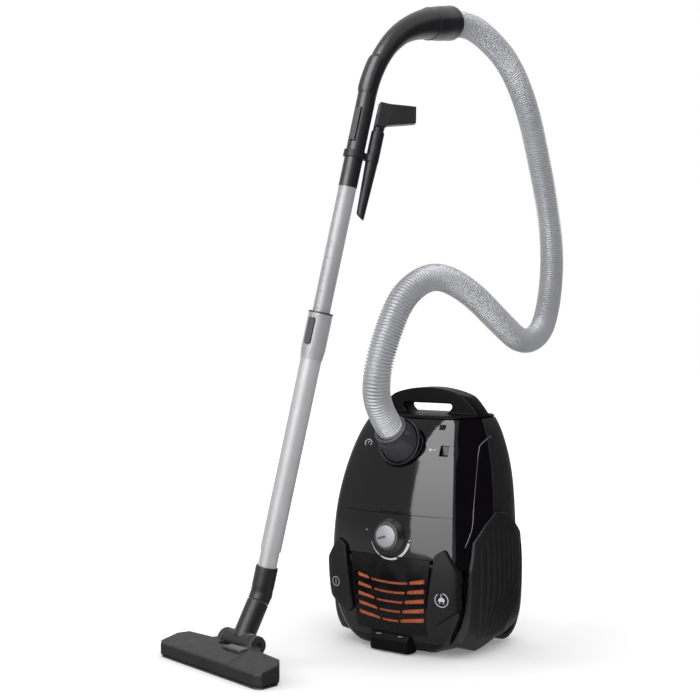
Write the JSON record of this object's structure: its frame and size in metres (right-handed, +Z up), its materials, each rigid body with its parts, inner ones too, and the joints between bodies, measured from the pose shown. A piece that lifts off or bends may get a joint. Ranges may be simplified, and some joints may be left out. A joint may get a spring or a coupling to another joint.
{
  "type": "canister vacuum cleaner",
  "caption": "Bagged canister vacuum parked upright, with a ribbed hose looping back to its curved handle, telescopic tube, clipped crevice tool and floor nozzle.",
  "frame": {"origin": "on the floor, under the middle of the canister as it stands parked on its rubber foot", "axes": "+Z up; -Y is the canister's front, with its knob; someone who faces the front has +X on the right"},
  "size_m": [0.4668, 0.896, 1.1393],
  "materials": {
    "black_shell_gloss": "glossy",
    "grey_shell_matt": "matt grain",
    "black_deck": "satin",
    "housing_plastic": "plain",
    "connector_grey": "satin",
    "button_grey": "satin",
    "wheel_rubber": "matt",
    "steel": "plain",
    "rotor_metal": "plain",
    "orange_foam": "open foam",
    "flag_red": "plain",
    "filter_fabric": "felt",
    "bag_paper": "paper",
    "seal_rubber": "matt",
    "knob_black": "satin",
    "knob_silver": "satin silver",
    "board_green": "plain",
    "hose_silver": "silver grey, ribbed",
    "handle_black": "satin",
    "tube_silver": "satin",
    "bush_plastic": "plain",
    "sleeve_black": "satin",
    "nozzle_grey": "matt",
    "sole_metal": "plain",
    "brush_bristle": "bristle"
  },
  "bodies": {
    "canister": {"base_tray": "grey_shell_matt", "rear_shell": "grey_shell_matt", "side_panel_right": "black_shell_gloss", "side_panel_left": "black_shell_gloss", "control_panel": "black_shell_gloss", "inlet_frame": "black_shell_gloss", "carry_handle": "black_deck", "wheel_housings": "housing_plastic", "wheel_cover_right": "grey_shell_matt", "wheel_cover_left": "grey_shell_matt", "wheel_axles": "steel", "rubber_foot": "wheel_rubber", "housing_screws": "steel", "cord_outlet": "wheel_rubber", "hinge_pins": "steel", "circuit_board": "board_green", "power_switch": "housing_plastic", "inner_deck": "housing_plastic", "motor_housing": "housing_plastic", "motor_seal": "seal_rubber", "motor_filter": "filter_fabric", "bag_holder": "housing_plastic", "dust_bag": "bag_paper", "reel_frame": "housing_plastic", "hose_connector": "connector_grey", "hose": "hose_silver"},
    "dust_lid": {"dust_lid": "black_shell_gloss"},
    "lid_latch": {"lid_latch": "button_grey"},
    "bag_flag": {"bag_flag": "flag_red"},
    "exhaust_door": {"exhaust_door": "black_deck", "exhaust_foam": "orange_foam"},
    "door_latch": {"door_latch": "grey_shell_matt"},
    "power_knob": {"power_knob": "knob_black", "knob_face": "knob_silver"},
    "power_pedal": {"power_pedal": "grey_shell_matt"},
    "cord_pedal": {"cord_pedal": "grey_shell_matt"},
    "wheel_left": {"wheel_left": "wheel_rubber"},
    "wheel_right": {"wheel_right": "wheel_rubber"},
    "castor_fork": {"castor_fork": "housing_plastic"},
    "castor_wheel": {"castor_wheel": "wheel_rubber"},
    "motor_rotor": {"motor_rotor": "rotor_metal"},
    "cord_drum": {"cord_drum": "housing_plastic"},
    "connector_button": {"connector_button": "button_grey"},
    "handle": {"handle": "handle_black", "tool_clip": "handle_black", "upper_tube": "tube_silver", "guide_bushes": "bush_plastic"},
    "air_slider": {"air_slider": "handle_black"},
    "release_button": {"release_button": "handle_black"},
    "accessory_tool": {"accessory_tool": "handle_black"},
    "lower_tube": {"lower_tube": "tube_silver", "lock_sleeve": "sleeve_black", "neck_elbow": "nozzle_grey"},
    "lock_button": {"lock_button": "button_grey"},
    "neck_lower": {"neck_lower": "nozzle_grey"},
    "nozzle": {"nozzle_body": "nozzle_grey", "sole_plate": "sole_metal"},
    "nozzle_pedal": {"nozzle_pedal": "button_grey"},
    "brush_strip": {"brush_strip": "brush_bristle"},
    "nozzle_rollers": {"nozzle_rollers": "wheel_rubber"}
  },
  "joints": [
    {"name": "lid_hinge", "type": "hinge", "parent": "canister", "child": "dust_lid", "pos_m": [0, -0.09693, 0.241], "axis": [1, 0, 0], "range_deg": [0, 80]},
    {"name": "lid_latch_press", "type": "slide", "parent": "dust_lid", "child": "lid_latch", "axis": [0, 1, 0], "range_m": [0, 0.0015], "stiffness_N_per_m": 1500, "springref_m": -0.001},
    {"name": "bag_flag_swing", "type": "hinge", "parent": "dust_lid", "child": "bag_flag", "pos_m": [0.084, -0.05764, 0.354], "axis": [1, 0, 0], "range_deg": [0, 60]},
    {"name": "door_hinge", "type": "hinge", "parent": "canister", "child": "exhaust_door", "pos_m": [0, -0.10361, 0.163], "axis": [1, 0, 0], "range_deg": [-70, 0]},
    {"name": "door_latch_press", "type": "hinge", "parent": "canister", "child": "door_latch", "pos_m": [0, -0.093, 0.031], "axis": [1, 0, 0], "range_deg": [-6, 0], "stiffness_Nm_per_rad": 0.8, "springref_deg": 2.86},
    {"name": "power_knob_turn", "type": "hinge", "parent": "canister", "child": "power_knob", "pos_m": [0, -0.10565, 0.20005], "axis": [0, -0.9954, 0.0958], "range_deg": [-150, 150]},
    {"name": "power_pedal_press", "type": "slide", "parent": "canister", "child": "power_pedal", "axis": [0, 1, 0], "range_m": [0, 0.004], "stiffness_N_per_m": 2000, "springref_m": -0.001},
    {"name": "cord_pedal_press", "type": "slide", "parent": "canister", "child": "cord_pedal", "axis": [0, 1, 0], "range_m": [0, 0.004], "stiffness_N_per_m": 2000, "springref_m": -0.001},
    {"name": "wheel_left_spin", "type": "hinge", "parent": "canister", "child": "wheel_left", "pos_m": [-0.112, 0.065, 0.062], "axis": [1, 0, 0], "continuous": true},
    {"name": "wheel_right_spin", "type": "hinge", "parent": "canister", "child": "wheel_right", "pos_m": [0.112, 0.065, 0.062], "axis": [1, 0, 0], "continuous": true},
    {"name": "castor_swivel", "type": "hinge", "parent": "canister", "child": "castor_fork", "pos_m": [0, 0.076, 0.322], "axis": [0, 1, 0], "continuous": true},
    {"name": "castor_spin", "type": "hinge", "parent": "castor_fork", "child": "castor_wheel", "pos_m": [0, 0.103, 0.311], "axis": [1, 0, 0], "continuous": true},
    {"name": "motor_spin", "type": "hinge", "parent": "canister", "child": "motor_rotor", "pos_m": [-0.046, 0.012, 0.12], "axis": [0, 0, 1], "continuous": true},
    {"name": "cord_drum_spin", "type": "hinge", "parent": "canister", "child": "cord_drum", "pos_m": [0.053, 0.004, 0.112], "axis": [1, 0, 0], "continuous": true},
    {"name": "connector_button_press", "type": "slide", "parent": "canister", "child": "connector_button", "axis": [-1, 0, 0], "range_m": [0, 0.0015], "stiffness_N_per_m": 1000, "springref_m": -0.001},
    {"name": "handle_swivel", "type": "hinge", "parent": "canister", "child": "handle", "pos_m": [0.00105, 0.093, 1.10789], "axis": [0.0338, 0.9774, 0.2085], "range_deg": [-3, 90]},
    {"name": "air_slider_move", "type": "hinge", "parent": "handle", "child": "air_slider", "pos_m": [-0.02956, 0.03245, 0.91881], "axis": [0.9872, 0, -0.1598], "range_deg": [-1.2, 0]},
    {"name": "release_button_press", "type": "slide", "parent": "handle", "child": "release_button", "axis": [-0.0217, 0.9907, -0.1341], "range_m": [0, 0.0012], "stiffness_N_per_m": 1200, "springref_m": -0.001},
    {"name": "tool_pull", "type": "slide", "parent": "handle", "child": "accessory_tool", "axis": [0.7191, 0.6629, -0.2084], "range_m": [0, 0.03]},
    {"name": "tube_extend", "type": "slide", "parent": "handle", "child": "lower_tube", "axis": [0.1583, 0.1358, 0.978], "range_m": [-0.045, 0.195]},
    {"name": "lock_button_press", "type": "slide", "parent": "lower_tube", "child": "lock_button", "axis": [-0.0217, 0.9907, -0.1341], "range_m": [0, 0.0014], "stiffness_N_per_m": 1200, "springref_m": -0.001},
    {"name": "neck_swivel", "type": "hinge", "parent": "lower_tube", "child": "neck_lower", "pos_m": [-0.1609, -0.25182, 0.10736], "axis": [0.104, 0.4891, 0.866], "range_deg": [-60, 60]},
    {"name": "nozzle_tilt", "type": "hinge", "parent": "neck_lower", "child": "nozzle", "pos_m": [-0.1697, -0.29324, 0.034], "axis": [0.9781, -0.2079, 0], "range_deg": [-30, 30]},
    {"name": "brush_pedal_rock", "type": "hinge", "parent": "nozzle", "child": "nozzle_pedal", "pos_m": [-0.17656, -0.32552, 0.0285], "axis": [0.9781, -0.2079, 0], "range_deg": [0, 4]},
    {"name": "brush_drop", "type": "slide", "parent": "nozzle", "child": "brush_strip", "axis": [0, 0, -1], "range_m": [0, 0.001]},
    {"name": "rollers_spin", "type": "hinge", "parent": "nozzle", "child": "nozzle_rollers", "pos_m": [-0.17594, -0.32259, 0.007], "axis": [0.9781, -0.2079, 0], "continuous": true}
  ],
  "couplings": [
    {"joint": "brush_drop", "follows": "brush_pedal_rock", "m_per_rad": 0.0143}
  ]
}
